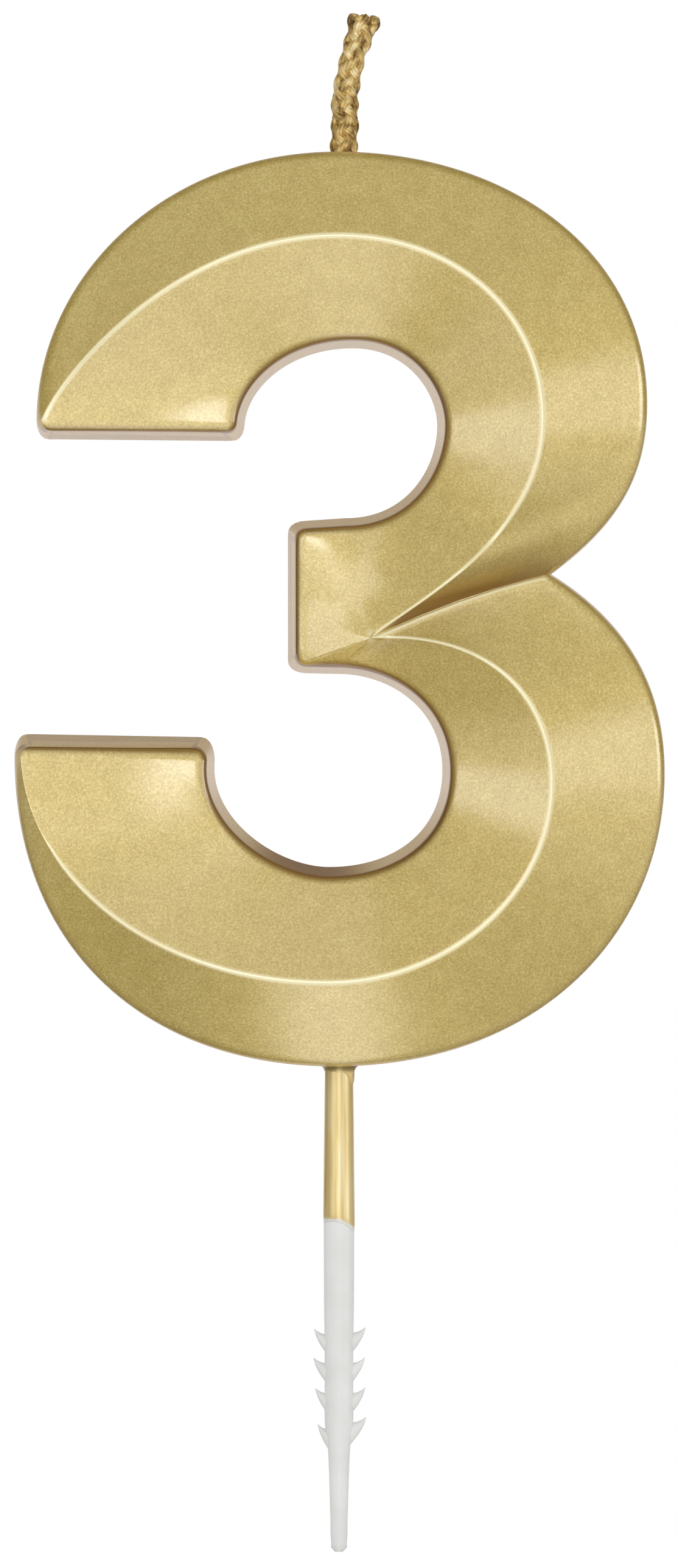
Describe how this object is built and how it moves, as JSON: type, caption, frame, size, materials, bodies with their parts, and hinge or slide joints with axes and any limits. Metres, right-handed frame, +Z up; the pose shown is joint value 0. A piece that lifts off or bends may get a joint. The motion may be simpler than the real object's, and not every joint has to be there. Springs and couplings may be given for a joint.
{
  "type": "number candle",
  "caption": "Bevelled gold birthday candle in the shape of a numeral, with a wick at the top and a barbed plastic pick that pushes into a cake.",
  "frame": {"origin": "on the pick's axis where its gold lacquer ends, which is where the cake's top comes", "axes": "+Z up along the pick, +X to the right of a person reading the numeral, -Y towards that person"},
  "size_m": [0.0501, 0.0106, 0.1178],
  "materials": {
    "wax": "plain paraffin wax, under the lacquer",
    "gold_lacquer": "satin metallic gold lacquer with a fine flake",
    "wick_cotton": "braided cotton, sprayed gold",
    "pick_plastic": "white moulded plastic, soft gloss",
    "gold_gloss": "the same gold lacquer, glossier over smooth plastic"
  },
  "bodies": {
    "stake": {"pick": "pick_plastic", "pick_coat": "gold_gloss"},
    "numeral": {"wax_body": "wax", "gold_coat": "gold_lacquer", "wick": "wick_cotton", "seal_bead": "gold_gloss"}
  },
  "joints": [
    {"name": "numeral_lift", "type": "slide", "parent": "stake", "child": "numeral", "axis": [0, 0, 1], "range_m": [0, 0.009]}
  ]
}
